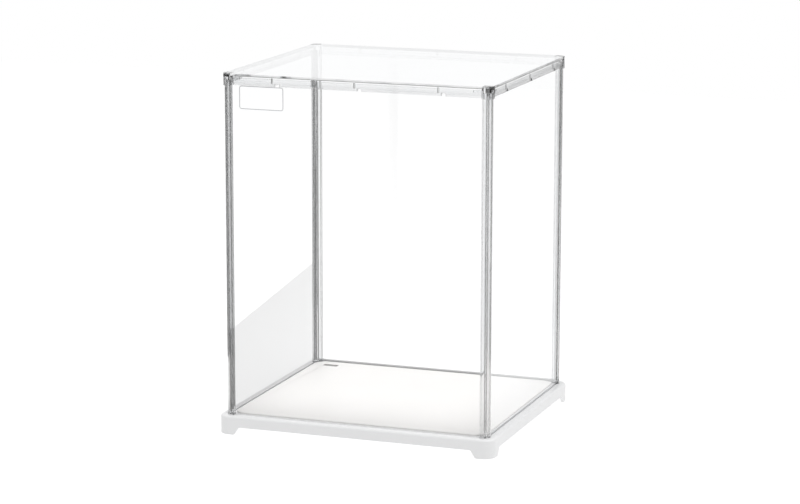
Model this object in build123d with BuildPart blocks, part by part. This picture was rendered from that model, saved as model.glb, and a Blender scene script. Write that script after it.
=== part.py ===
from build123d import *
import os

# Clear display case: a white footed tray, four grooved posts, four side sheets and a lift-off lid.
# Lengths are in millimetres. The origin is the middle of the footprint at the floor, +Z is up and
# the front of the case faces -Y.

os.makedirs("parts", exist_ok=True)

# Overall size
base_width = 250.0
base_depth = 222.0
case_height = 314.0

# White base tray
base_height = 16.5
base_corner_radius = 10.0
base_edge_radius = 2.0
base_wall = 2.2
deck_thickness = 2.5
base_margin = 5.5
foot_height = 6.8
foot_length = 15.0
foot_slope = 4.5
foot_inner_radius = 2.5
foot_toe_radius = 0.8
groove_depth = 3.5
groove_floor = 1.6
socket_wall = 1.5
rib_thickness = 1.4
rib_depth = 2.4
rib_pitch = 60.0
ribs_each_way = 3

# Floor board and its cable slot
board_thickness = 2.3
board_recess = 1.0
board_inset = 5.1
board_corner_radius = 10.4
board_edge_radius = 0.5
board_gap = 0.2
cable_slot_length = 14.0
cable_slot_width = 6.0
cable_slot_inset = 10.4
cable_slot_radius = 1.0

# Clear sheets and the grooved corner posts that hold them
sheet_thickness = 2.0
sheet_gap = 0.1
sheet_end_gap = 0.3
sheet_top_gap = 0.3
post_size = 7.5
post_radius = 6.0
post_lip = 1.1
post_slot_depth = 3.5
seat_gap = 0.15

# Lid: top sheet on four channel rails, joined by four corner caps
rail_overhang = 0.6
rail_height = 7.5
rail_top_wall = 1.5
rail_outer_wall = 1.5
rail_inner_wall = 1.2
rail_inner_height = 6.5
rail_face_height = 5.0
rail_lip_setback = 0.5
rail_bead_height = 0.9
rail_bead_depth = 0.3
rail_channel_gap = 0.3
snap_pitch_long = 74.0
snap_pitch_short = 67.0
snaps_each_rail = 3
snap_slit_width = 1.0
snap_slit_height = 4.4
snap_notch_width = 4.0
snap_notch_offset = 4.5
cap_overhang = 1.2
cap_skirt = 5.0
cap_plate = 5.5
cap_edge_radius = 0.6
cap_key_gap = 0.15
tongue_root = 4.0
tongue_length = 8.0
tongue_height = 1.6
tongue_gap = 0.15

# Places that follow from the sizes
case_width = base_width - 2 * base_margin
case_depth = base_depth - 2 * base_margin
deck_underside = base_height - deck_thickness
seat_level = base_height - groove_depth
groove_underside = seat_level - groove_floor
slot_width = sheet_thickness + 2 * sheet_gap
slot_start = post_size - post_slot_depth
sheet_inset = post_lip + sheet_gap
key_start = post_lip + slot_width + post_lip
lid_seat_level = case_height - cap_plate
sheet_top_level = lid_seat_level - sheet_top_gap
rail_top_level = case_height - sheet_thickness
rail_bottom_level = rail_top_level - rail_height
rail_channel_top = rail_top_level - rail_top_wall
board_width = case_width - 2 * board_inset
board_depth = case_depth - 2 * board_inset
board_underside = base_height - board_recess
cable_slot_x = -board_width / 2 + cable_slot_inset + cable_slot_length / 2
cable_slot_y = board_depth / 2 - cable_slot_inset - cable_slot_width / 2

# The sides, a quarter turn apart, each by its distance out, its run and its snap pitch
sides = {
    "front": (case_depth / 2, case_width, snap_pitch_long),
    "right": (case_width / 2, case_depth, snap_pitch_short),
    "back": (case_depth / 2, case_width, snap_pitch_long),
    "left": (case_width / 2, case_depth, snap_pitch_short),
}

# Each corner by the side whose run starts there
corners = {
    "front_left": "front",
    "front_right": "right",
    "back_right": "back",
    "back_left": "left",
}


def side_plane(side):
    """Plane at the foot of one side: x runs along it, y points into the case, z is up."""
    distance, _, _ = sides[side]
    turn = 360 * list(sides).index(side) / len(sides)
    along = Vector(1, 0, 0).rotate(Axis.Z, turn)
    inward = Vector(0, 1, 0).rotate(Axis.Z, turn)
    return Plane(origin=inward * -distance, x_dir=along, z_dir=(0, 0, 1))


def corner_plane(corner, level):
    """Plane at one outer corner of the case: x and y both point into the case."""
    side = corners[corner]
    foot = side_plane(side)
    start = foot.from_local_coords((-sides[side][1] / 2, 0, level))
    return Plane(origin=start, x_dir=foot.x_dir, z_dir=foot.z_dir)


def corner_outline(sketch, grow, reach, radius):
    """Square from just outside the corner to its inner reach, with its outer corner rounded."""
    with Locations((-grow, -grow)):
        Rectangle(reach + grow, reach + grow, align=(Align.MIN, Align.MIN))
    fillet(sketch.vertices().sort_by_distance((-grow, -grow))[0], radius=radius)


def foot_cut_profile(run):
    """Outline of the opening between two feet, with rounded toes and rounded inner corners."""
    half_floor = run / 2 - foot_length
    half_top = half_floor - foot_slope
    half_out = run / 2 + foot_length
    with BuildSketch() as profile:
        with BuildLine():
            Polyline(
                (-half_out, -foot_height),
                (-half_out, 0),
                (-half_floor, 0),
                (-half_top, foot_height),
                (half_top, foot_height),
                (half_floor, 0),
                (half_out, 0),
                (half_out, -foot_height),
                close=True,
            )
        make_face()
        inner = profile.vertices().group_by(Axis.Y)[-1]
        fillet(inner, radius=foot_inner_radius)
        toes = profile.vertices().filter_by(lambda v: abs(v.Y) < 1e-6 and abs(v.X) < run / 2)
        fillet(toes, radius=foot_toe_radius)
    return profile.sketch


# Base tray: rounded box with a soft upper edge, hollow from below
with BuildPart() as base_tray:
    with BuildSketch():
        RectangleRounded(base_width, base_depth, base_corner_radius)
    extrude(amount=base_height)
    fillet(base_tray.faces().sort_by(Axis.Z)[-1].edges(), radius=base_edge_radius)

    # Hollow inside the skirt, deeper in the middle where only the deck is above it
    with BuildSketch():
        RectangleRounded(
            base_width - 2 * base_wall, base_depth - 2 * base_wall, base_corner_radius - base_wall
        )
    extrude(amount=groove_underside, mode=Mode.SUBTRACT)
    frame_width = base_margin + post_size + socket_wall
    with BuildSketch(Plane.XY.offset(groove_underside)):
        Rectangle(base_width - 2 * frame_width, base_depth - 2 * frame_width)
    extrude(amount=deck_underside - groove_underside, mode=Mode.SUBTRACT)

    # Stiffening ribs under the deck
    with BuildSketch(Plane.XY.offset(deck_underside - rib_depth)):
        with GridLocations(rib_pitch, 0, ribs_each_way, 1):
            Rectangle(rib_thickness, base_depth - 2 * frame_width)
        with GridLocations(0, rib_pitch, 1, ribs_each_way):
            Rectangle(base_width - 2 * frame_width, rib_thickness)
    extrude(amount=rib_depth)

    # Openings between the four feet, through the front and back and through both ends
    with BuildSketch(Plane.XZ):
        add(foot_cut_profile(base_width))
    extrude(amount=base_depth, both=True, mode=Mode.SUBTRACT)
    with BuildSketch(Plane.YZ):
        add(foot_cut_profile(base_depth))
    extrude(amount=base_width, both=True, mode=Mode.SUBTRACT)

    # Shallow recess for the floor board
    with BuildSketch(Plane.XY.offset(base_height)):
        RectangleRounded(
            board_width + 2 * board_gap, board_depth + 2 * board_gap, board_corner_radius + board_gap
        )
    extrude(amount=-board_recess, mode=Mode.SUBTRACT)

    # Grooves for the side sheets and sockets for the posts
    for side, (_, run, _) in sides.items():
        foot = side_plane(side)
        with BuildSketch(foot.offset(base_height)):
            with Locations((0, post_lip + slot_width / 2)):
                Rectangle(run - 2 * slot_start, sheet_thickness + 2 * seat_gap)
        extrude(amount=-groove_depth, mode=Mode.SUBTRACT)
    for corner in corners:
        with BuildSketch(corner_plane(corner, base_height)) as socket:
            corner_outline(socket, seat_gap, post_size + seat_gap, post_radius + seat_gap)
        extrude(amount=-groove_depth, mode=Mode.SUBTRACT)

    # Cable slot through the deck
    with BuildSketch(Plane.XY.offset(base_height)):
        with Locations((cable_slot_x, cable_slot_y)):
            RectangleRounded(cable_slot_length, cable_slot_width, cable_slot_radius)
    extrude(amount=-(base_height - groove_underside), mode=Mode.SUBTRACT)


# Floor board: thin warm white board with rounded corners and the same cable slot
with BuildPart() as floor_board:
    with BuildSketch(Plane.XY.offset(board_underside)):
        RectangleRounded(board_width, board_depth, board_corner_radius)
        with Locations((cable_slot_x, cable_slot_y)):
            RectangleRounded(
                cable_slot_length, cable_slot_width, cable_slot_radius, mode=Mode.SUBTRACT
            )
    extrude(amount=board_thickness)
    fillet(floor_board.faces().sort_by(Axis.Z)[-1].outer_wire().edges(), radius=board_edge_radius)


def corner_post(corner):
    """Quarter-round post with a sheet slot in each inner face and a keyway between them."""
    with BuildPart() as post:
        with BuildSketch(corner_plane(corner, seat_level)) as section:
            corner_outline(section, 0, post_size, post_radius)
            with Locations((slot_start, post_lip)):
                Rectangle(
                    post_slot_depth, slot_width, align=(Align.MIN, Align.MIN), mode=Mode.SUBTRACT
                )
            with Locations((post_lip, slot_start)):
                Rectangle(
                    slot_width, post_slot_depth, align=(Align.MIN, Align.MIN), mode=Mode.SUBTRACT
                )
            with Locations((key_start, key_start)):
                Rectangle(post_size, post_size, align=(Align.MIN, Align.MIN), mode=Mode.SUBTRACT)
        extrude(amount=lid_seat_level - seat_level)
    return post.part


def side_sheet(side):
    """Clear sheet that stands in the base groove with its ends in two post slots."""
    _, run, _ = sides[side]
    with BuildPart() as sheet:
        with BuildSketch(side_plane(side).offset(seat_level)):
            with Locations((0, sheet_inset)):
                Rectangle(
                    run - 2 * slot_start - 2 * sheet_end_gap,
                    sheet_thickness,
                    align=(Align.CENTER, Align.MIN),
                )
        extrude(amount=sheet_top_level - seat_level)
    return sheet.part


def lid_rail(side):
    """Channel rail over one sheet: stepped outer wall with snap slits, beaded lip, inner wall."""
    _, run, snap_pitch = sides[side]
    length = run - 2 * post_size
    foot = side_plane(side)
    start = foot.from_local_coords((-length / 2, 0, 0))
    outer = -rail_overhang
    lip = outer + rail_lip_setback
    bead = lip - rail_bead_depth
    channel = outer + rail_outer_wall
    inner = sheet_inset + sheet_thickness + rail_channel_gap
    face_bottom = rail_top_level - rail_face_height
    with BuildPart() as rail:
        with BuildSketch(Plane(origin=start, x_dir=foot.y_dir, z_dir=foot.x_dir)):
            with BuildLine():
                Polyline(
                    (outer, rail_top_level),
                    (outer, face_bottom),
                    (lip, face_bottom),
                    (lip, rail_bottom_level + rail_bead_height),
                    (bead, rail_bottom_level + rail_bead_height),
                    (bead, rail_bottom_level),
                    (channel, rail_bottom_level),
                    (channel, rail_channel_top),
                    (inner, rail_channel_top),
                    (inner, rail_top_level - rail_inner_height),
                    (inner + rail_inner_wall, rail_top_level - rail_inner_height),
                    (inner + rail_inner_wall, rail_top_level),
                    close=True,
                )
            make_face()
        extrude(amount=length)

        # Each snap finger has a slit beside it and a release notch in the lip
        face = Plane(
            origin=foot.from_local_coords((0, outer, 0)), x_dir=foot.x_dir, z_dir=-foot.y_dir
        )
        with BuildSketch(face):
            with Locations((0, face_bottom)):
                with GridLocations(snap_pitch, 0, snaps_each_rail, 1):
                    Rectangle(
                        snap_slit_width, snap_slit_height, align=(Align.CENTER, Align.MIN)
                    )
            with Locations((snap_notch_offset, rail_bottom_level)):
                with GridLocations(snap_pitch, 0, snaps_each_rail, 1):
                    Rectangle(
                        snap_notch_width,
                        face_bottom - rail_bottom_level,
                        align=(Align.CENTER, Align.MIN),
                    )
        extrude(amount=-rail_outer_wall, mode=Mode.SUBTRACT)
    return rail.part


def corner_cap(corner):
    """Corner cap: quarter-round cap over the post, a key in its keyway, two tongues for the rails."""
    with BuildPart() as cap:
        with BuildSketch(corner_plane(corner, lid_seat_level - cap_skirt)) as outline:
            corner_outline(outline, cap_overhang, post_size, post_radius + cap_overhang)
        extrude(amount=cap_skirt + cap_plate)
        top = cap.faces().sort_by(Axis.Z)[-1]
        fillet(top.edges().filter_by(GeomType.CIRCLE), radius=cap_edge_radius)

        # Pocket for the post, open towards both rails
        with BuildSketch(corner_plane(corner, lid_seat_level)) as pocket:
            corner_outline(pocket, seat_gap, post_size + seat_gap, post_radius + seat_gap)
        extrude(amount=-cap_skirt, mode=Mode.SUBTRACT)

        # Key that drops into the post's keyway
        with BuildSketch(corner_plane(corner, lid_seat_level)):
            with Locations((key_start + cap_key_gap, key_start + cap_key_gap)):
                Rectangle(
                    post_size - key_start - cap_key_gap,
                    post_size - key_start - cap_key_gap,
                    align=(Align.MIN, Align.MIN),
                )
        extrude(amount=-cap_skirt)

        # Tongues that enter the channels of the two rails
        channel = rail_outer_wall - rail_overhang
        channel_end = sheet_inset + sheet_thickness + rail_channel_gap
        tongue_width = channel_end - channel - 2 * tongue_gap
        tongue_reach = tongue_root + tongue_length
        with BuildSketch(corner_plane(corner, rail_channel_top - tongue_gap)):
            with Locations((post_size - tongue_root, channel + tongue_gap)):
                Rectangle(tongue_reach, tongue_width, align=(Align.MIN, Align.MIN))
            with Locations((channel + tongue_gap, post_size - tongue_root)):
                Rectangle(tongue_width, tongue_reach, align=(Align.MIN, Align.MIN))
        extrude(amount=-tongue_height)
    return cap.part


# Top sheet: rests on the rails, notched round the corner caps
with BuildPart() as top_panel:
    with BuildSketch(Plane.XY.offset(rail_top_level)):
        Rectangle(case_width + 2 * rail_overhang, case_depth + 2 * rail_overhang)
    extrude(amount=sheet_thickness)
    for corner in corners:
        with BuildSketch(corner_plane(corner, rail_top_level)):
            with Locations((-cap_overhang, -cap_overhang)):
                Rectangle(
                    cap_overhang + post_size + sheet_gap,
                    cap_overhang + post_size + sheet_gap,
                    align=(Align.MIN, Align.MIN),
                )
        extrude(amount=sheet_thickness, mode=Mode.SUBTRACT)


pieces = {
    "base_tray": base_tray.part,
    "floor_board": floor_board.part,
    "top_panel": top_panel.part,
}
for side in sides:
    pieces[side + "_panel"] = side_sheet(side)
    pieces["rail_" + side] = lid_rail(side)
for corner in corners:
    pieces["post_" + corner] = corner_post(corner)
    pieces["corner_cap_" + corner] = corner_cap(corner)

for name, piece in pieces.items():
    piece.label = name
    export_step(piece, "parts/" + name + ".step")
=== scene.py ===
import math

import bmesh
import bpy
from mathutils import Matrix, Vector


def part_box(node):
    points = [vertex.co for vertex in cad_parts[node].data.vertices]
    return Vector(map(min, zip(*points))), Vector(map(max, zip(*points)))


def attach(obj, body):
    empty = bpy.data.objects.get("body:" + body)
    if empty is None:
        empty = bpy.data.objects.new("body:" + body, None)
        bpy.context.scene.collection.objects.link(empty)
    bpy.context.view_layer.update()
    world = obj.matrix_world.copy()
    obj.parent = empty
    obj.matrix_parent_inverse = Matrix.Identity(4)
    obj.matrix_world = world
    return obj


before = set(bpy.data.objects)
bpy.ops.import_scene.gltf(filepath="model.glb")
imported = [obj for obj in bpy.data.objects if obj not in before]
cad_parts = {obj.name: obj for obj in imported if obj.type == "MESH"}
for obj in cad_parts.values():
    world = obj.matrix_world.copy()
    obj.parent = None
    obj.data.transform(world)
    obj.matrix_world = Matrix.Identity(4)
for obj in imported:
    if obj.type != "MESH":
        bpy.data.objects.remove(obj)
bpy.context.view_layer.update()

bl_info = {
    "name": "Clear display case",
    "version": (1, 0, 0),
    "blender": (4, 5, 0),
    "location": "3D View > Sidebar > Display case",
    "description": "Finishes, bare corner plate and white studio for a clear display case",
    "category": "Object",
}

front_sheet_low, front_sheet_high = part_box("front_panel")

SIDES = ("front", "right", "back", "left")
CORNERS = ("front_left", "front_right", "back_right", "back_left")
GROOVE_MARGIN = 0.0001
SLOT_SHADE_MARGIN = 0.003
WHITE_PLASTIC_IOR = 1.5
CLEAR_PLASTIC_IOR = 1.49
TWO_FACES = 1.75
LAMP_LIGHT_LET_BY = 0.93
BENT_UPWARD_FROM = 0.22
BENT_UPWARD_TO = 0.34


class WhitePlasticSettings(bpy.types.PropertyGroup):
    """Look of the white tray and of the board that lies in it."""

    tray_colour: bpy.props.FloatVectorProperty(
        name="Tray colour", description="Colour of the moulded tray", subtype="COLOR",
        size=3, min=0.0, max=1.0, default=(0.815, 0.817, 0.822),
    )
    # Painted light: the grooves get a brighter colour than the tray and a faint glow of their own.
    # These stand in for light that the clear sheets and the plastic carry into the grooves, whose
    # walls lie in shade.
    groove_painted_light_colour: bpy.props.FloatVectorProperty(
        name="Groove painted light colour", description="Colour of the smooth grooves in the tray",
        subtype="COLOR", size=3, min=0.0, max=1.0, default=(0.97, 0.97, 0.97),
    )
    groove_painted_glow: bpy.props.FloatProperty(
        name="Groove painted glow", description="Light that the clear sheets carry into the grooves",
        min=0.0, max=1.0, default=0.15,
    )
    # Painted shade: the cable slot's walls are painted dark grey to stand in for the shade inside
    # the narrow slot. The dark grey is not the board's own colour.
    slot_painted_shade_colour: bpy.props.FloatVectorProperty(
        name="Slot painted shade colour", description="Colour of the board's raw core in its cable slot",
        subtype="COLOR", size=3, min=0.0, max=1.0, default=(0.4, 0.39, 0.38),
    )
    board_colour: bpy.props.FloatVectorProperty(
        name="Board colour", description="Warm white of the floor board", subtype="COLOR",
        size=3, min=0.0, max=1.0, default=(0.845, 0.832, 0.818),
    )
    grain_size: bpy.props.FloatProperty(
        name="Grain size", description="Width of one grain of the moulded surface",
        unit="LENGTH", min=0.0001, default=0.0006,
    )
    grain_depth: bpy.props.FloatProperty(
        name="Grain depth", description="Height of the grain of the moulded surface",
        unit="LENGTH", min=0.0, default=0.00002,
    )
    edge_radius: bpy.props.FloatProperty(
        name="Edge radius", description="Radius broken onto the sharp edges",
        unit="LENGTH", min=0.0, default=0.0003,
    )


class ClearPlasticSettings(bpy.types.PropertyGroup):
    """Look of the clear sheets, posts, rails and caps."""

    moulding_tint: bpy.props.FloatVectorProperty(
        name="Moulding tint", description="Tint of the clear posts, rails and caps",
        subtype="COLOR", size=3, min=0.0, max=1.0, default=(0.97, 0.975, 0.98),
    )
    # Painted shade: the grey tint on the top sheet's cut edges stands in for the dark that bent
    # light shows there. Clear plastic has no such tint.
    edge_painted_shade_tint: bpy.props.FloatVectorProperty(
        name="Cut edge painted shade", description="Tint of the cut edges of the sheets",
        subtype="COLOR", size=3, min=0.0, max=1.0, default=(0.4, 0.41, 0.42),
    )
    # Painted shade: the near-black tint on the cut faces of the rails' slits stands in for the dark
    # that bent light shows there. Clear plastic has no such tint.
    slit_painted_shade_tint: bpy.props.FloatVectorProperty(
        name="Slit painted shade", description="Tint of the cut faces in the rails' slits",
        subtype="COLOR", size=3, min=0.0, max=1.0, default=(0.08, 0.082, 0.085),
    )
    mirror_tint: bpy.props.FloatVectorProperty(
        name="Mirror tint", description="Tint of what the sheets mirror",
        subtype="COLOR", size=3, min=0.0, max=1.0, default=(0.97, 0.98, 0.99),
    )
    # Painted shade: a dark line is painted along the back sheet's foot. It stands in for the dark
    # line that bent light and the groove make where the sheet enters the groove.
    back_shade_line_top: bpy.props.FloatProperty(
        name="Back shade line top", description="Height to which the back sheet's foot line reaches",
        unit="LENGTH", min=0.0, default=0.0192,
    )
    back_shade_line_strength: bpy.props.FloatProperty(
        name="Back shade line strength", description="How dark the back sheet's foot line is",
        min=0.0, max=1.0, default=0.6,
    )
    moulding_edge_radius: bpy.props.FloatProperty(
        name="Moulding edge radius", description="Radius on the edges of the clear mouldings",
        unit="LENGTH", min=0.0, default=0.00025,
    )
    sheet_edge_radius: bpy.props.FloatProperty(
        name="Sheet edge radius", description="Radius on the polished edges of the sheets",
        unit="LENGTH", min=0.0, default=0.00015,
    )
    line_depth: bpy.props.FloatProperty(
        name="Drawn line depth", description="Depth of the faint lines along the mouldings",
        unit="LENGTH", min=0.0, default=0.0000015,
    )


class CornerPlateSettings(bpy.types.PropertyGroup):
    """Sizes of the bare outlined plate on the front sheet."""

    plate_width: bpy.props.FloatProperty(
        name="Width", description="Width of the plate", unit="LENGTH", min=0.005, default=0.0402,
    )
    plate_height: bpy.props.FloatProperty(
        name="Height", description="Height of the plate", unit="LENGTH", min=0.005, default=0.02,
    )
    plate_middle_x: bpy.props.FloatProperty(
        name="Middle X", description="Place of the plate's middle along the front",
        unit="LENGTH", default=-0.0845,
    )
    plate_middle_z: bpy.props.FloatProperty(
        name="Middle Z", description="Height of the plate's middle", unit="LENGTH", default=0.294,
    )
    corner_radius: bpy.props.FloatProperty(
        name="Corner radius", description="Outer radius of the outline", unit="LENGTH",
        min=0.0005, default=0.0022,
    )
    line_width: bpy.props.FloatProperty(
        name="Line width", description="Width of the outline", unit="LENGTH",
        min=0.0002, default=0.0007,
    )
    line_height: bpy.props.FloatProperty(
        name="Line height", description="How far the outline stands off the sheet",
        unit="LENGTH", min=0.00005, default=0.00015,
    )
    line_colour: bpy.props.FloatVectorProperty(
        name="Line colour", description="Colour of the printed outline", subtype="COLOR",
        size=3, min=0.0, max=1.0, default=(0.6, 0.61, 0.62),
    )


class StudioSettings(bpy.types.PropertyGroup):
    """Camera, floor, lamps and surroundings."""

    camera_place: bpy.props.FloatVectorProperty(
        name="Camera place", description="Where the camera stands", subtype="TRANSLATION",
        unit="LENGTH", size=3, default=(0.83943, -2.31108, 0.6448),
    )
    camera_target: bpy.props.FloatVectorProperty(
        name="Camera target", description="Point in the middle of the picture",
        subtype="TRANSLATION", unit="LENGTH", size=3, default=(0.00771, -0.01446, 0.15132),
    )
    camera_roll: bpy.props.FloatProperty(
        name="Camera roll", description="Turn of the picture", subtype="ANGLE",
        default=math.radians(-0.113),
    )
    camera_lens: bpy.props.FloatProperty(
        name="Camera lens", description="Focal length in millimetres", min=20.0, default=128.68,
    )
    floor_size: bpy.props.FloatProperty(
        name="Floor size", description="Side of the square floor", unit="LENGTH", default=4.0,
    )
    floor_glow: bpy.props.FloatProperty(
        name="Floor glow", description="Light that the floor shows by itself", default=0.87,
    )
    floor_white: bpy.props.FloatProperty(
        name="Floor white", description="Share of lamp light that the floor returns",
        min=0.0, max=1.0, default=0.22,
    )
    card_place: bpy.props.FloatProperty(
        name="Card place", description="X of the grey card that the left sheet mirrors",
        unit="LENGTH", default=-0.1157,
    )
    card_reach: bpy.props.FloatProperty(
        name="Card reach", description="Distance of the card's two ends from the middle",
        unit="LENGTH", default=0.1,
    )
    card_fade_reach: bpy.props.FloatProperty(
        name="Card fade reach", description="Distance from the middle at which its fade ends",
        unit="LENGTH", default=0.09,
    )
    card_foot: bpy.props.FloatProperty(
        name="Card foot", description="Height of the mirrored card's lower edge", unit="LENGTH",
        default=0.018,
    )
    card_front_top: bpy.props.FloatProperty(
        name="Card front top", description="Height of the mirrored card at the front",
        unit="LENGTH", default=0.0899,
    )
    card_back_top: bpy.props.FloatProperty(
        name="Card back top", description="Height of the mirrored card at the back",
        unit="LENGTH", default=0.1128,
    )
    card_dark: bpy.props.FloatProperty(
        name="Card dark end", description="Brightness of the mirrored card at the front",
        min=0.0, max=1.0, default=0.0,
    )
    card_pale: bpy.props.FloatProperty(
        name="Card pale end", description="Brightness of the mirrored card at the back",
        min=0.0, max=1.0, default=0.3,
    )
    lamp_target: bpy.props.FloatVectorProperty(
        name="Lamp target", description="Point that both lamps face", subtype="TRANSLATION",
        unit="LENGTH", size=3, default=(0.0, 0.0, 0.15),
    )
    top_lamp_place: bpy.props.FloatVectorProperty(
        name="Top lamp place", description="Where the soft lamp above hangs",
        subtype="TRANSLATION", unit="LENGTH", size=3, default=(0.05, -0.17, 1.5),
    )
    top_lamp_size: bpy.props.FloatProperty(
        name="Top lamp size", description="Side of the soft lamp above", unit="LENGTH", default=0.6,
    )
    side_lamp_place: bpy.props.FloatVectorProperty(
        name="Side lamp place", description="Where the soft lamp at the right stands",
        subtype="TRANSLATION", unit="LENGTH", size=3, default=(1.5, 0.1, 0.5),
    )
    side_lamp_size: bpy.props.FloatProperty(
        name="Side lamp size", description="Side of the soft lamp at the right", unit="LENGTH",
        default=1.0,
    )
    top_lamp_power: bpy.props.FloatProperty(
        name="Top lamp power", description="Power of the soft lamp above", unit="POWER",
        default=16.0,
    )
    side_lamp_power: bpy.props.FloatProperty(
        name="Side lamp power", description="Power of the soft lamp at the right",
        unit="POWER", default=2.6,
    )
    room_light: bpy.props.FloatProperty(
        name="Room light", description="Strength of the even light from all round",
        default=0.55,
    )
    flag_turn: bpy.props.FloatProperty(
        name="Flag turn", description="Turn of the ring of dark flags", subtype="ANGLE",
        default=math.radians(100.0),
    )
    wide_flag: bpy.props.FloatVectorProperty(
        name="Wide flag", description="Where the wide flag of each quarter starts and ends",
        size=2, min=0.0, max=1.0, default=(0.044, 0.444),
    )
    narrow_flag: bpy.props.FloatVectorProperty(
        name="Narrow flag", description="Where the narrow flag of each quarter starts and ends",
        size=2, min=0.0, max=1.0, default=(0.556, 0.833),
    )
    flag_edge: bpy.props.FloatProperty(
        name="Flag edge", description="Half the width of a flag's soft edge",
        min=0.001, max=0.04, default=0.015,
    )
    flag_dark: bpy.props.FloatProperty(
        name="Flag brightness", description="Brightness of a flag", min=0.0, max=1.0,
        default=0.05,
    )


def scene_settings(name):
    """One of the groups of settings that register() puts on the scene."""
    return getattr(bpy.context.scene, name)


def add_node(tree, kind, place, **values):
    """New node of that kind at a place in the node editor, with its properties set."""
    made = tree.nodes.new(kind)
    made.location = place
    for key, value in values.items():
        setattr(made, key, value)
    return made


def new_group(name, inputs, outputs):
    """Empty shader node group with float or vector inputs and outputs, and its two end nodes."""
    group = bpy.data.node_groups.new(name, "ShaderNodeTree")
    for label, kind, value in inputs:
        made = group.interface.new_socket(name=label, in_out="INPUT", socket_type=kind)
        if value is not None:
            made.default_value = value
    for label, kind in outputs:
        group.interface.new_socket(name=label, in_out="OUTPUT", socket_type=kind)
    start = add_node(group, "NodeGroupInput", (-800, 0))
    end = add_node(group, "NodeGroupOutput", (600, 0))
    return group, start, end


def smudge_group():
    """Cloudy value between two limits, for handled surfaces that shine unevenly."""
    name = "handled smudges"
    if name in bpy.data.node_groups:
        return bpy.data.node_groups[name]
    group, start, end = new_group(
        name,
        [
            ("Vector", "NodeSocketVector", None),
            ("Patch Size", "NodeSocketFloat", 0.02),
            ("Low", "NodeSocketFloat", 0.3),
            ("High", "NodeSocketFloat", 0.4),
        ],
        [("Value", "NodeSocketFloat")],
    )
    per_metre = add_node(group, "ShaderNodeMath", (-600, -200), operation="DIVIDE")
    per_metre.inputs[0].default_value = 1.0
    clouds = add_node(group, "ShaderNodeTexNoise", (-380, 0), noise_dimensions="3D")
    clouds.inputs["Detail"].default_value = 5.0
    clouds.inputs["Roughness"].default_value = 0.55
    spread = add_node(group, "ShaderNodeMapRange", (-140, 0), interpolation_type="SMOOTHSTEP")
    spread.inputs["From Min"].default_value = 0.3
    spread.inputs["From Max"].default_value = 0.72
    link = group.links.new
    link(start.outputs["Patch Size"], per_metre.inputs[1])
    link(start.outputs["Vector"], clouds.inputs["Vector"])
    link(per_metre.outputs[0], clouds.inputs["Scale"])
    link(clouds.outputs["Fac"], spread.inputs["Value"])
    link(start.outputs["Low"], spread.inputs["To Min"])
    link(start.outputs["High"], spread.inputs["To Max"])
    link(spread.outputs["Result"], end.inputs["Value"])
    return group


def grain_group():
    """Fine pebbled height of a moulded or rolled surface."""
    name = "moulded grain"
    if name in bpy.data.node_groups:
        return bpy.data.node_groups[name]
    group, start, end = new_group(
        name,
        [
            ("Vector", "NodeSocketVector", None),
            ("Grain Size", "NodeSocketFloat", 0.0006),
            ("Ripple Size", "NodeSocketFloat", 0.03),
            ("Ripple Share", "NodeSocketFloat", 0.5),
        ],
        [("Height", "NodeSocketFloat")],
    )
    link = group.links.new
    heights = []
    for row, (label, kind) in enumerate((("Grain Size", "VORONOI"), ("Ripple Size", "NOISE"))):
        scale = add_node(group, "ShaderNodeMath", (-600, -300 * row), operation="DIVIDE")
        scale.inputs[0].default_value = 1.0
        link(start.outputs[label], scale.inputs[1])
        if kind == "VORONOI":
            pattern = add_node(
                group, "ShaderNodeTexVoronoi", (-380, -300 * row), feature="SMOOTH_F1"
            )
            heights.append(pattern.outputs["Distance"])
        else:
            pattern = add_node(group, "ShaderNodeTexNoise", (-380, -300 * row))
            heights.append(pattern.outputs["Fac"])
        link(start.outputs["Vector"], pattern.inputs["Vector"])
        link(scale.outputs[0], pattern.inputs["Scale"])
    both = add_node(group, "ShaderNodeMath", (0, 0), operation="MULTIPLY_ADD")
    link(heights[1], both.inputs[0])
    link(start.outputs["Ripple Share"], both.inputs[1])
    link(heights[0], both.inputs[2])
    link(both.outputs[0], end.inputs["Height"])
    return group


def drawn_line_group():
    """Height of the faint lines that a die or a mould leaves along a clear moulding."""
    name = "drawn lines"
    if name in bpy.data.node_groups:
        return bpy.data.node_groups[name]
    group, start, end = new_group(
        name,
        [
            ("Vector", "NodeSocketVector", None),
            ("Across", "NodeSocketVector", (1.0, 1.0, 0.02)),
            ("Line Size", "NodeSocketFloat", 0.001),
        ],
        [("Height", "NodeSocketFloat")],
    )
    stretch = add_node(group, "ShaderNodeVectorMath", (-600, 100), operation="MULTIPLY")
    per_metre = add_node(group, "ShaderNodeMath", (-600, -200), operation="DIVIDE")
    per_metre.inputs[0].default_value = 1.0
    lines = add_node(group, "ShaderNodeTexNoise", (-380, 0))
    lines.inputs["Detail"].default_value = 3.0
    link = group.links.new
    link(start.outputs["Vector"], stretch.inputs[0])
    link(start.outputs["Across"], stretch.inputs[1])
    link(stretch.outputs["Vector"], lines.inputs["Vector"])
    link(start.outputs["Line Size"], per_metre.inputs[1])
    link(per_metre.outputs[0], lines.inputs["Scale"])
    link(lines.outputs["Fac"], end.inputs["Height"])
    return group


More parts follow.
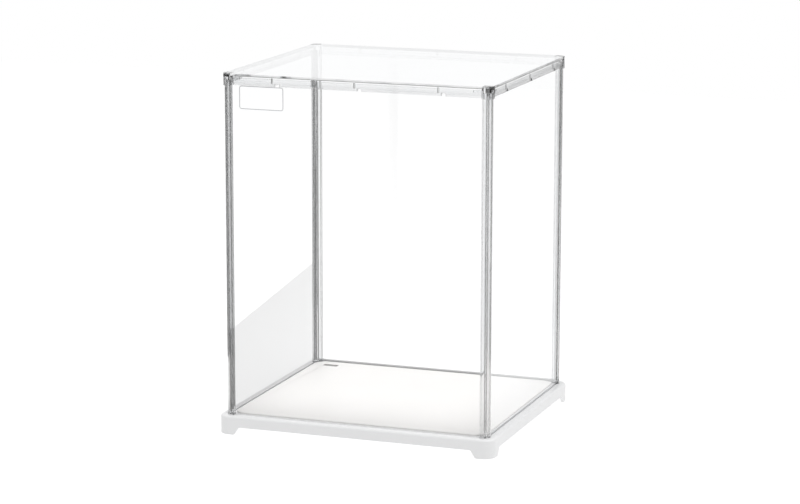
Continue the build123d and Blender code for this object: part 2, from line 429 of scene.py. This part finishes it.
def foot_shade_group():
    """Mask of a painted shade line along a sheet's foot, standing in for the dark line that bent
    light and the groove make where the sheet enters the groove.
    """
    name = "foot line"
    if name in bpy.data.node_groups:
        return bpy.data.node_groups[name]
    group, start, end = new_group(
        name,
        [
            ("Vector", "NodeSocketVector", None),
            ("Top", "NodeSocketFloat", 0.0175),
            ("Soft Edge", "NodeSocketFloat", 0.0003),
            ("Strength", "NodeSocketFloat", 0.5),
        ],
        [("Value", "NodeSocketFloat")],
    )
    parts = add_node(group, "ShaderNodeSeparateXYZ", (-600, 0))
    below = add_node(group, "ShaderNodeMath", (-400, 0), operation="SUBTRACT")
    ramp = add_node(group, "ShaderNodeMath", (-200, 0), operation="DIVIDE")
    ramp.use_clamp = True
    weaker = add_node(group, "ShaderNodeMath", (0, 0), operation="MULTIPLY")
    link = group.links.new
    link(start.outputs["Vector"], parts.inputs["Vector"])
    link(start.outputs["Top"], below.inputs[0])
    link(parts.outputs["Z"], below.inputs[1])
    link(below.outputs[0], ramp.inputs[0])
    link(start.outputs["Soft Edge"], ramp.inputs[1])
    link(ramp.outputs[0], weaker.inputs[0])
    link(start.outputs["Strength"], weaker.inputs[1])
    link(weaker.outputs[0], end.inputs["Value"])
    return group


def new_material(name):
    """Material with an empty node tree and its output node."""
    material = bpy.data.materials.new(name)
    material.use_nodes = True
    tree = material.node_tree
    tree.nodes.clear()
    out = add_node(tree, "ShaderNodeOutputMaterial", (900, 0))
    return material, tree, out


def place_group(tree, group, place, **values):
    """Puts a node group in a material with plain values on its inputs."""
    made = add_node(tree, "ShaderNodeGroup", place, node_tree=group)
    for key, value in values.items():
        made.inputs[key.replace("_", " ").title()].default_value = value
    return made


def opaque_plastic(
    name, colour, shade, roughness, grain_size, ripple_share, depth, patch=0.03, glow=0.0
):
    """White plastic or board: cloudy colour and shine over a fine grain."""
    material, tree, out = new_material(name)
    link = tree.links.new
    place = add_node(tree, "ShaderNodeTexCoord", (-900, 0))
    tone = place_group(tree, smudge_group(), (-600, 300), patch_size=patch, low=0.0, high=1.0)
    shine = place_group(
        tree, smudge_group(), (-600, 0), patch_size=patch * 0.6, low=roughness[0], high=roughness[1]
    )
    grain = place_group(
        tree, grain_group(), (-600, -300), grain_size=grain_size, ripple_share=ripple_share
    )
    mix = add_node(tree, "ShaderNodeMix", (-300, 300), data_type="RGBA")
    mix.inputs["A"].default_value = (*colour, 1.0)
    mix.inputs["B"].default_value = (*[c * shade for c in colour], 1.0)
    bump = add_node(tree, "ShaderNodeBump", (-300, -300))
    bump.inputs["Distance"].default_value = depth
    surface = add_node(tree, "ShaderNodeBsdfPrincipled", (300, 0))
    surface.inputs["IOR"].default_value = WHITE_PLASTIC_IOR
    # A glow above 0 is painted light: the surface glows in its own colour though it is no lamp.
    surface.inputs["Emission Color"].default_value = (*colour, 1.0)
    surface.inputs["Emission Strength"].default_value = glow
    material.cycles.emission_sampling = "NONE"
    for part in (tone, shine, grain):
        link(place.outputs["Object"], part.inputs["Vector"])
    link(tone.outputs["Value"], mix.inputs["Factor"])
    link(mix.outputs["Result"], surface.inputs["Base Color"])
    link(shine.outputs["Value"], surface.inputs["Roughness"])
    link(grain.outputs["Height"], bump.inputs["Height"])
    link(bump.outputs["Normal"], surface.inputs["Normal"])
    link(surface.outputs["BSDF"], out.inputs["Surface"])
    return material


def clear_moulding(name, tint, across, line_depth, roughness=(0.0, 0.006), line_size=0.0012):
    """Clear moulded plastic that bends light, with faint lines along it, and lets lamp light by."""
    material, tree, out = new_material(name)
    link = tree.links.new
    place = add_node(tree, "ShaderNodeTexCoord", (-900, 0))
    tone = place_group(tree, smudge_group(), (-600, 300), patch_size=0.02, low=0.0, high=1.0)
    shine = place_group(
        tree, smudge_group(), (-600, 0), patch_size=0.008, low=roughness[0], high=roughness[1]
    )
    lines = place_group(tree, drawn_line_group(), (-600, -300), across=across, line_size=line_size)
    mix = add_node(tree, "ShaderNodeMix", (-300, 300), data_type="RGBA")
    mix.inputs["A"].default_value = (*tint, 1.0)
    mix.inputs["B"].default_value = (*[1.0 - (1.0 - c) * 0.5 for c in tint], 1.0)
    bump = add_node(tree, "ShaderNodeBump", (-300, -300))
    bump.inputs["Distance"].default_value = line_depth
    surface = add_node(tree, "ShaderNodeBsdfPrincipled", (200, 0))
    surface.inputs["IOR"].default_value = CLEAR_PLASTIC_IOR
    surface.inputs["Transmission Weight"].default_value = 1.0
    for part in (tone, shine, lines):
        link(place.outputs["Object"], part.inputs["Vector"])
    link(tone.outputs["Value"], mix.inputs["Factor"])
    link(mix.outputs["Result"], surface.inputs["Base Color"])
    link(shine.outputs["Value"], surface.inputs["Roughness"])
    link(lines.outputs["Height"], bump.inputs["Height"])
    link(bump.outputs["Normal"], surface.inputs["Normal"])
    pass_lamps(tree, surface, out)
    return material


def pass_lamps(tree, surface, out):
    """Rays from lamps go through the piece and lose a little."""
    link = tree.links.new
    path = add_node(tree, "ShaderNodeLightPath", (200, 500))
    through = add_node(tree, "ShaderNodeBsdfTransparent", (200, -700))
    through.inputs["Color"].default_value = (*[LAMP_LIGHT_LET_BY] * 3, 1.0)
    choose = add_node(tree, "ShaderNodeMixShader", (650, 0))
    link(path.outputs["Is Shadow Ray"], choose.inputs["Fac"])
    link(surface.outputs["BSDF"], choose.inputs[1])
    link(through.outputs["BSDF"], choose.inputs[2])
    link(choose.outputs["Shader"], out.inputs["Surface"])


def clear_sheet(name, mirror_tint, shade_line_top=0.0, shade_line_strength=0.0, shade_line_tint=0.1):
    """Thin clear sheet: what is behind it shows unbent, and its front face mirrors by Fresnel."""
    material, tree, out = new_material(name)
    link = tree.links.new
    place = add_node(tree, "ShaderNodeTexCoord", (-900, 0))
    tone = place_group(tree, smudge_group(), (-600, 300), patch_size=0.09, low=0.0, high=1.0)
    shine = place_group(tree, smudge_group(), (-600, 0), patch_size=0.05, low=0.0, high=0.05)
    mix = add_node(tree, "ShaderNodeMix", (-300, 300), data_type="RGBA")
    mix.inputs["A"].default_value = (*mirror_tint, 1.0)
    mix.inputs["B"].default_value = (*[c * 0.985 for c in mirror_tint], 1.0)
    slant = add_node(tree, "ShaderNodeFresnel", (-600, -300))
    slant.inputs["IOR"].default_value = CLEAR_PLASTIC_IOR
    face = add_node(tree, "ShaderNodeNewGeometry", (-600, -500))
    two_faces = add_node(tree, "ShaderNodeMath", (-400, -300), operation="MULTIPLY")
    two_faces.inputs[1].default_value = TWO_FACES
    two_faces.use_clamp = True
    outward = add_node(tree, "ShaderNodeMath", (-400, -500), operation="SUBTRACT")
    outward.inputs[0].default_value = 1.0
    share = add_node(tree, "ShaderNodeMath", (-200, -400), operation="MULTIPLY")
    surface = add_node(tree, "ShaderNodeBsdfPrincipled", (200, 0))
    surface.inputs["Metallic"].default_value = 1.0
    # The foot mask paints a dark shade line along the sheet's foot into its colour and alpha.
    foot = place_group(
        tree, foot_shade_group(), (-600, -800), top=shade_line_top, strength=shade_line_strength
    )
    dark = add_node(tree, "ShaderNodeMix", (-100, 300), data_type="RGBA")
    dark.inputs["B"].default_value = (shade_line_tint, shade_line_tint, shade_line_tint, 1.0)
    stronger = add_node(tree, "ShaderNodeMath", (0, -500), operation="MAXIMUM")
    for part in (tone, shine, foot):
        link(place.outputs["Object"], part.inputs["Vector"])
    link(tone.outputs["Value"], mix.inputs["Factor"])
    link(mix.outputs["Result"], dark.inputs["A"])
    link(foot.outputs["Value"], dark.inputs["Factor"])
    link(dark.outputs["Result"], surface.inputs["Base Color"])
    link(shine.outputs["Value"], surface.inputs["Roughness"])
    link(slant.outputs["Fac"], two_faces.inputs[0])
    link(face.outputs["Backfacing"], outward.inputs[1])
    link(two_faces.outputs[0], share.inputs[0])
    link(outward.outputs[0], share.inputs[1])
    link(share.outputs[0], stronger.inputs[0])
    link(foot.outputs["Value"], stronger.inputs[1])
    link(stronger.outputs[0], surface.inputs["Alpha"])
    link(surface.outputs["BSDF"], out.inputs["Surface"])
    return material


def soften_edges(piece, radius):
    """Joins the split corners of a CAD mesh and breaks its sharp edges by a small radius."""
    weld = piece.modifiers.new("join corners", "WELD")
    weld.merge_threshold = 1e-6
    bevel = piece.modifiers.new("broken edges", "BEVEL")
    bevel.width = radius
    bevel.segments = 2
    bevel.limit_method = "ANGLE"
    bevel.angle_limit = math.radians(40.0)
    bevel.use_clamp_overlap = True
    normals = piece.modifiers.new("even shading", "WEIGHTED_NORMAL")
    normals.keep_sharp = True


def finish_node(name, material, radius):
    """Gives a CAD node its material and softened edges."""
    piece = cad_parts[name]
    piece.data.materials.clear()
    piece.data.materials.append(material)
    for polygon in piece.data.polygons:
        polygon.use_smooth = True
    soften_edges(piece, radius)
    return piece


def mark_faces(piece, material, chosen):
    """Puts a second material on the faces for which chosen() is true."""
    piece.data.materials.append(material)
    for polygon in piece.data.polygons:
        if chosen(polygon):
            polygon.material_index = 1


def rounded_outline(width, height, radius, steps=8):
    """Points of a rounded rectangle round its middle, anticlockwise."""
    points = []
    for turn, (sx, sz) in enumerate(((1, 1), (-1, 1), (-1, -1), (1, -1))):
        x, z = sx * (width / 2 - radius), sz * (height / 2 - radius)
        for step in range(steps + 1):
            angle = math.radians(90.0 * (turn + step / steps))
            points.append((x + radius * math.cos(angle), z + radius * math.sin(angle)))
    return points


class CASE_OT_tray(bpy.types.Operator):
    """Finish the white footed tray"""

    bl_idname = "display_case.tray"
    bl_label = "White tray"

    def execute(self, context):
        look = scene_settings("case_white_plastic")
        material = opaque_plastic(
            "white moulded plastic", look.tray_colour, 0.985, (0.3, 0.4),
            look.grain_size, 0.5, look.grain_depth,
        )
        tray = finish_node("base_tray", material, look.edge_radius)
        # Painted light: the faces inside the grooves get a brighter material with a faint glow, so
        # the grooves read as lit though they lie in shade.
        groove = opaque_plastic(
            "grooves brightened by painted light", look.groove_painted_light_colour, 0.99, (0.3, 0.4),
            look.grain_size, 0.5, look.grain_depth, glow=look.groove_painted_glow,
        )
        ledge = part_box("base_tray")[1].z
        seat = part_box("front_panel")[0].z
        reach = [side + GROOVE_MARGIN for side in (front_sheet_high.x, -front_sheet_low.y)]

        def in_groove(polygon):
            middle = polygon.center
            inside = abs(middle.x) < reach[0] and abs(middle.y) < reach[1]
            return inside and seat - GROOVE_MARGIN < middle.z < ledge - GROOVE_MARGIN

        mark_faces(tray, groove, in_groove)
        return {"FINISHED"}


class CASE_OT_board(bpy.types.Operator):
    """Finish the warm white floor board"""

    bl_idname = "display_case.board"
    bl_label = "Floor board"

    def execute(self, context):
        look = scene_settings("case_white_plastic")
        material = opaque_plastic(
            "warm white board", look.board_colour, 0.99, (0.45, 0.6),
            look.grain_size * 1.6, 0.9, look.grain_depth * 0.6, patch=0.06,
        )
        board = finish_node("floor_board", material, look.edge_radius * 0.5)
        # Painted shade: the cable slot's walls get a dark grey material that stands in for the
        # shade inside the slot.
        core = opaque_plastic(
            "board slot painted shade", look.slot_painted_shade_colour, 0.9, (0.6, 0.8),
            look.grain_size, 0.5, look.grain_depth, patch=0.004,
        )
        reach = [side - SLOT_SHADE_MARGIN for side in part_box("floor_board")[1]]

        def in_slot(polygon):
            middle = polygon.center
            inside = abs(middle.x) < reach[0] and abs(middle.y) < reach[1]
            return inside and abs(polygon.normal.z) < 0.3

        mark_faces(board, core, in_slot)
        return {"FINISHED"}


class CASE_OT_sheets(bpy.types.Operator):
    """Finish the four side sheets and the top sheet"""

    bl_idname = "display_case.sheets"
    bl_label = "Clear sheets"

    def execute(self, context):
        look = scene_settings("case_clear_plastic")
        faces = clear_sheet("clear sheet", look.mirror_tint)
        # Painted shade: the back sheet's material has a dark line painted along its foot.
        back_faces_painted_shade = clear_sheet(
            "clear back sheet with painted foot shade", look.mirror_tint, look.back_shade_line_top, look.back_shade_line_strength
        )
        # Painted shade: the top sheet's edge faces get a grey-tinted clear material so that they
        # read dark, as bent light makes them look.
        edges = clear_moulding(
            "sheet edge with painted shade", look.edge_painted_shade_tint, (1.0, 1.0, 1.0), look.line_depth,
            roughness=(0.04, 0.12), line_size=0.0006,
        )
        for name in [side + "_panel" for side in SIDES] + ["top_panel"]:
            chosen = back_faces_painted_shade if name == "back_panel" else faces
            piece = finish_node(name, chosen, look.sheet_edge_radius)
            if name == "top_panel":
                mark_faces(piece, edges, lambda polygon: abs(polygon.normal.z) < 0.5)
        return {"FINISHED"}


class CASE_OT_posts(bpy.types.Operator):
    """Finish the four grooved corner posts"""

    bl_idname = "display_case.posts"
    bl_label = "Corner posts"

    def execute(self, context):
        look = scene_settings("case_clear_plastic")
        material = clear_moulding(
            "clear post", look.moulding_tint, (1.0, 1.0, 0.02), look.line_depth
        )
        for corner in CORNERS:
            finish_node("post_" + corner, material, look.moulding_edge_radius)
        return {"FINISHED"}


class CASE_OT_lid_rails(bpy.types.Operator):
    """Finish the four snap rails of the lid"""

    bl_idname = "display_case.lid_rails"
    bl_label = "Lid rails"

    def execute(self, context):
        look = scene_settings("case_clear_plastic")
        along_x = clear_moulding(
            "clear rail along front", look.moulding_tint, (0.02, 1.0, 1.0), look.line_depth
        )
        along_y = clear_moulding(
            "clear rail along side", look.moulding_tint, (1.0, 0.02, 1.0), look.line_depth
        )
        # Painted shade: the cut faces in the rails' slits get a near-black clear material so that
        # they read dark.
        cut = clear_moulding(
            "rail slit with painted shade", look.slit_painted_shade_tint, (1.0, 1.0, 1.0), look.line_depth
        )
        for side in SIDES:
            run = 0 if side in ("front", "back") else 1
            material = (along_x, along_y)[run]
            piece = finish_node(
                "rail_" + side, material, look.moulding_edge_radius * 0.6
            )
            mark_faces(piece, cut, lambda polygon: abs(polygon.normal[run]) > 0.9)
        return {"FINISHED"}


class CASE_OT_corner_caps(bpy.types.Operator):
    """Finish the four corner caps of the lid"""

    bl_idname = "display_case.corner_caps"
    bl_label = "Corner caps"

    def execute(self, context):
        look = scene_settings("case_clear_plastic")
        material = clear_moulding(
            "clear cap", look.moulding_tint, (1.0, 1.0, 1.0), look.line_depth, line_size=0.003
        )
        for corner in CORNERS:
            name = "corner_cap_" + corner
            finish_node(name, material, look.moulding_edge_radius)
        return {"FINISHED"}


class CASE_OT_corner_plate(bpy.types.Operator):
    """Add the bare outlined plate at the front sheet's upper left corner"""

    bl_idname = "display_case.corner_plate"
    bl_label = "Bare corner plate"

    def execute(self, context):
        look = scene_settings("case_corner_plate")
        back = front_sheet_low.y
        front = back - look.line_height
        outer = rounded_outline(look.plate_width, look.plate_height, look.corner_radius)
        inner = rounded_outline(
            look.plate_width - 2 * look.line_width,
            look.plate_height - 2 * look.line_width,
            look.corner_radius - look.line_width,
        )
        mesh = bpy.data.meshes.new("corner_plate_outline")
        shape = bmesh.new()
        rings = []
        for points, depth in ((outer, back), (outer, front), (inner, front), (inner, back)):
            ring = [
                shape.verts.new((look.plate_middle_x + x, depth, look.plate_middle_z + z))
                for x, z in points
            ]
            rings.append(ring)
        count = len(outer)
        for first, second in zip(rings, rings[1:] + rings[:1]):
            for i in range(count):
                j = (i + 1) % count
                shape.faces.new((first[i], first[j], second[j], second[i]))
        bmesh.ops.recalc_face_normals(shape, faces=shape.faces)
        shape.to_mesh(mesh)
        shape.free()
        piece = bpy.data.objects.new("corner_plate_outline", mesh)
        context.scene.collection.objects.link(piece)
        material = opaque_plastic(
            "printed outline", look.line_colour, 0.95, (0.5, 0.7), 0.0003, 0.3, 0.00001, patch=0.004
        )
        mesh.materials.append(material)
        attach(piece, "cover")
        return {"FINISHED"}


def draw_flags(ramp, look):
    """Draws the dark flags of one quarter of the ring, with soft edges, on a colour ramp."""
    dark = (look.flag_dark, look.flag_dark, look.flag_dark, 1.0)
    white = (1.0, 1.0, 1.0, 1.0)
    stops = []
    for start, end in (look.wide_flag, look.narrow_flag):
        stops += [
            (start - look.flag_edge, white), (start + look.flag_edge, dark),
            (end - look.flag_edge, dark), (end + look.flag_edge, white),
        ]
    ramp.elements[0].position = stops[0][0]
    ramp.elements[0].color = stops[0][1]
    ramp.elements[1].position = stops[-1][0]
    ramp.elements[1].color = stops[-1][1]
    for position, colour in stops[1:-1]:
        ramp.elements.new(position).color = colour


def flag_world(world, look):
    """White for the camera and for mirrors, even light on the object, and dark flags all round
    for rays that a clear moulding has bent, as a photographer sets them round clear plastic."""
    world.use_nodes = True
    tree = world.node_tree
    tree.nodes.clear()
    link = tree.links.new
    out = add_node(tree, "ShaderNodeOutputWorld", (900, 0))
    sky = add_node(tree, "ShaderNodeBackground", (700, 0))
    sky.inputs["Color"].default_value = (1.0, 1.0, 1.0, 1.0)
    place = add_node(tree, "ShaderNodeTexCoord", (-900, 0))
    path = add_node(tree, "ShaderNodeLightPath", (-900, 400))
    parts = add_node(tree, "ShaderNodeSeparateXYZ", (-700, 0))
    turn = add_node(tree, "ShaderNodeMath", (-500, 0), operation="ARCTAN2")
    quarter = add_node(tree, "ShaderNodeMath", (-300, 0), operation="MULTIPLY_ADD")
    quarter.inputs[1].default_value = 2.0 / math.pi
    quarter.inputs[2].default_value = look.flag_turn / math.radians(90.0)
    part = add_node(tree, "ShaderNodeMath", (-150, 0), operation="FRACT")
    flags = add_node(tree, "ShaderNodeValToRGB", (0, 0))
    draw_flags(flags.color_ramp, look)
    level = add_node(tree, "ShaderNodeMapRange", (100, -300), interpolation_type="SMOOTHSTEP")
    level.inputs["From Min"].default_value = BENT_UPWARD_FROM
    level.inputs["From Max"].default_value = BENT_UPWARD_TO
    level.inputs["To Min"].default_value = 1.0
    level.inputs["To Max"].default_value = look.flag_dark
    darker = add_node(tree, "ShaderNodeMath", (300, -100), operation="MINIMUM")
    bent = add_node(tree, "ShaderNodeMix", (300, 100), data_type="FLOAT")
    bent.inputs["A"].default_value = 1.0
    lit = add_node(tree, "ShaderNodeMix", (500, 100), data_type="FLOAT")
    lit.inputs["B"].default_value = look.room_light
    link(place.outputs["Generated"], parts.inputs["Vector"])
    link(parts.outputs["X"], turn.inputs[0])
    link(parts.outputs["Y"], turn.inputs[1])
    link(turn.outputs[0], quarter.inputs[0])
    link(quarter.outputs[0], part.inputs[0])
    link(part.outputs[0], flags.inputs["Fac"])
    link(parts.outputs["Z"], level.inputs["Value"])
    link(flags.outputs["Color"], darker.inputs[0])
    link(level.outputs["Result"], darker.inputs[1])
    link(path.outputs["Is Transmission Ray"], bent.inputs["Factor"])
    link(darker.outputs[0], bent.inputs["B"])
    link(path.outputs["Is Diffuse Ray"], lit.inputs["Factor"])
    link(bent.outputs["Result"], lit.inputs["A"])
    link(lit.outputs["Result"], sky.inputs["Strength"])
    link(sky.outputs["Background"], out.inputs["Surface"])


def floor_material(glow, white):
    """Pale floor that shows as white and still takes the object's shadow."""
    material, tree, out = new_material("studio floor")
    link = tree.links.new
    light = add_node(tree, "ShaderNodeEmission", (200, 200))
    light.inputs["Strength"].default_value = glow
    paint = add_node(tree, "ShaderNodeBsdfDiffuse", (200, -100))
    paint.inputs["Color"].default_value = (white, white, white, 1.0)
    both = add_node(tree, "ShaderNodeAddShader", (500, 0))
    link(light.outputs["Emission"], both.inputs[0])
    link(paint.outputs["BSDF"], both.inputs[1])
    link(both.outputs["Shader"], out.inputs["Surface"])
    material.cycles.emission_sampling = "NONE"
    return material


def card_material(dark, pale, reach):
    """Grey card that only the left sheet mirrors, darker at the front than at the back."""
    material, tree, out = new_material("mirrored grey card")
    link = tree.links.new
    place = add_node(tree, "ShaderNodeTexCoord", (-600, 0))
    parts = add_node(tree, "ShaderNodeSeparateXYZ", (-400, 0))
    fade = add_node(tree, "ShaderNodeMapRange", (-200, 0))
    fade.inputs["From Min"].default_value = -reach
    fade.inputs["From Max"].default_value = reach
    fade.inputs["To Min"].default_value = dark
    fade.inputs["To Max"].default_value = pale
    light = add_node(tree, "ShaderNodeEmission", (200, 0))
    link(place.outputs["Object"], parts.inputs["Vector"])
    link(parts.outputs["Y"], fade.inputs["Value"])
    link(fade.outputs["Result"], light.inputs["Strength"])
    path = add_node(tree, "ShaderNodeLightPath", (200, 400))
    nothing = add_node(tree, "ShaderNodeBsdfTransparent", (200, -200))
    face = add_node(tree, "ShaderNodeNewGeometry", (0, 400))
    inner_side = add_node(tree, "ShaderNodeMath", (100, 300), operation="SUBTRACT")
    inner_side.inputs[0].default_value = 1.0
    hidden = add_node(tree, "ShaderNodeMath", (350, 300), operation="MAXIMUM")
    choose = add_node(tree, "ShaderNodeMixShader", (500, 0))
    link(face.outputs["Backfacing"], inner_side.inputs[1])
    link(inner_side.outputs[0], hidden.inputs[0])
    link(path.outputs["Diffuse Depth"], hidden.inputs[1])
    link(hidden.outputs[0], choose.inputs["Fac"])
    link(light.outputs["Emission"], choose.inputs[1])
    link(nothing.outputs["BSDF"], choose.inputs[2])
    link(choose.outputs["Shader"], out.inputs["Surface"])
    material.cycles.emission_sampling = "NONE"
    return material


def flat_piece(name, corners, material):
    """One flat polygon of the stage."""
    mesh = bpy.data.meshes.new(name)
    shape = bmesh.new()
    shape.faces.new([shape.verts.new(corner) for corner in corners])
    shape.to_mesh(mesh)
    shape.free()
    mesh.materials.append(material)
    piece = bpy.data.objects.new(name, mesh)
    bpy.context.scene.collection.objects.link(piece)
    return piece


def soft_lamp(name, place, target, size, power):
    """Square area lamp that points at a target."""
    light = bpy.data.lights.new(name, "AREA")
    light.shape = "SQUARE"
    light.size = size
    light.energy = power
    lamp = bpy.data.objects.new(name, light)
    lamp.location = place
    lamp.rotation_euler = (Vector(target) - Vector(place)).to_track_quat("-Z", "Y").to_euler()
    lamp.visible_transmission = False
    lamp.visible_glossy = False
    bpy.context.scene.collection.objects.link(lamp)


class CASE_OT_studio(bpy.types.Operator):
    """Add the floor, the lamps, the surroundings and the camera"""

    bl_idname = "display_case.studio"
    bl_label = "White studio"

    def execute(self, context):
        look = scene_settings("case_studio")
        scene = context.scene
        half = look.floor_size / 2
        floor = flat_piece(
            "studio_floor",
            ((-half, -half, 0.0), (half, -half, 0.0), (half, half, 0.0), (-half, half, 0.0)),
            floor_material(look.floor_glow, look.floor_white),
        )
        floor.visible_transmission = False
        card = flat_piece(
            "mirrored_card",
            (
                (look.card_place, -look.card_reach, look.card_foot),
                (look.card_place, look.card_reach, look.card_foot),
                (look.card_place, look.card_reach, look.card_back_top),
                (look.card_place, -look.card_reach, look.card_front_top),
            ),
            card_material(look.card_dark, look.card_pale, look.card_fade_reach),
        )
        card.visible_camera = False
        card.visible_diffuse = False
        card.visible_transmission = False
        card.visible_shadow = False
        soft_lamp(
            "top_lamp", look.top_lamp_place, look.lamp_target, look.top_lamp_size,
            look.top_lamp_power,
        )
        soft_lamp(
            "side_lamp", look.side_lamp_place, look.lamp_target, look.side_lamp_size,
            look.side_lamp_power,
        )

        world = bpy.data.worlds.new("white room with dark flags")
        scene.world = world
        flag_world(world, look)
        world.cycles.sampling_method = "NONE"
        scene.view_settings.view_transform = "Standard"

        data = bpy.data.cameras.new("photo_camera")
        data.lens = look.camera_lens
        data.sensor_width = 36.0
        data.sensor_fit = "HORIZONTAL"
        data.clip_start = 0.01
        data.clip_end = 100.0
        camera = bpy.data.objects.new("photo_camera", data)
        place = Vector(look.camera_place)
        aim = (Vector(look.camera_target) - place).to_track_quat("-Z", "Y").to_matrix().to_4x4()
        camera.matrix_world = (
            Matrix.Translation(place) @ aim @ Matrix.Rotation(-look.camera_roll, 4, "Z")
        )
        scene.collection.objects.link(camera)
        scene.camera = camera
        return {"FINISHED"}


PIECE_OPERATORS = (
    CASE_OT_tray,
    CASE_OT_board,
    CASE_OT_sheets,
    CASE_OT_posts,
    CASE_OT_lid_rails,
    CASE_OT_corner_caps,
    CASE_OT_corner_plate,
    CASE_OT_studio,
)


class CASE_PT_sidebar(bpy.types.Panel):
    """Lists the steps that finish the display case"""

    bl_idname = "CASE_PT_sidebar"
    bl_label = "Display case"
    bl_space_type = "VIEW_3D"
    bl_region_type = "UI"
    bl_category = "Display case"

    def draw(self, context):
        for operator in PIECE_OPERATORS:
            self.layout.operator(operator.bl_idname)


SETTING_GROUPS = {
    "case_white_plastic": WhitePlasticSettings,
    "case_clear_plastic": ClearPlasticSettings,
    "case_corner_plate": CornerPlateSettings,
    "case_studio": StudioSettings,
}


def register():
    """Registers the settings, the operators and the panel."""
    for name, group in SETTING_GROUPS.items():
        bpy.utils.register_class(group)
        setattr(bpy.types.Scene, name, bpy.props.PointerProperty(type=group))
    for operator in PIECE_OPERATORS:
        bpy.utils.register_class(operator)
    bpy.utils.register_class(CASE_PT_sidebar)


def unregister():
    """Takes away what register() added, in the opposite order."""
    bpy.utils.unregister_class(CASE_PT_sidebar)
    for operator in reversed(PIECE_OPERATORS):
        bpy.utils.unregister_class(operator)
    for name, group in reversed(SETTING_GROUPS.items()):
        delattr(bpy.types.Scene, name)
        bpy.utils.unregister_class(group)


def main():
    """Builds the whole scene."""
    register()
    for operator in PIECE_OPERATORS:
        group, step = operator.bl_idname.split(".")
        getattr(getattr(bpy.ops, group), step)()


if __name__ == "__main__":
    main()
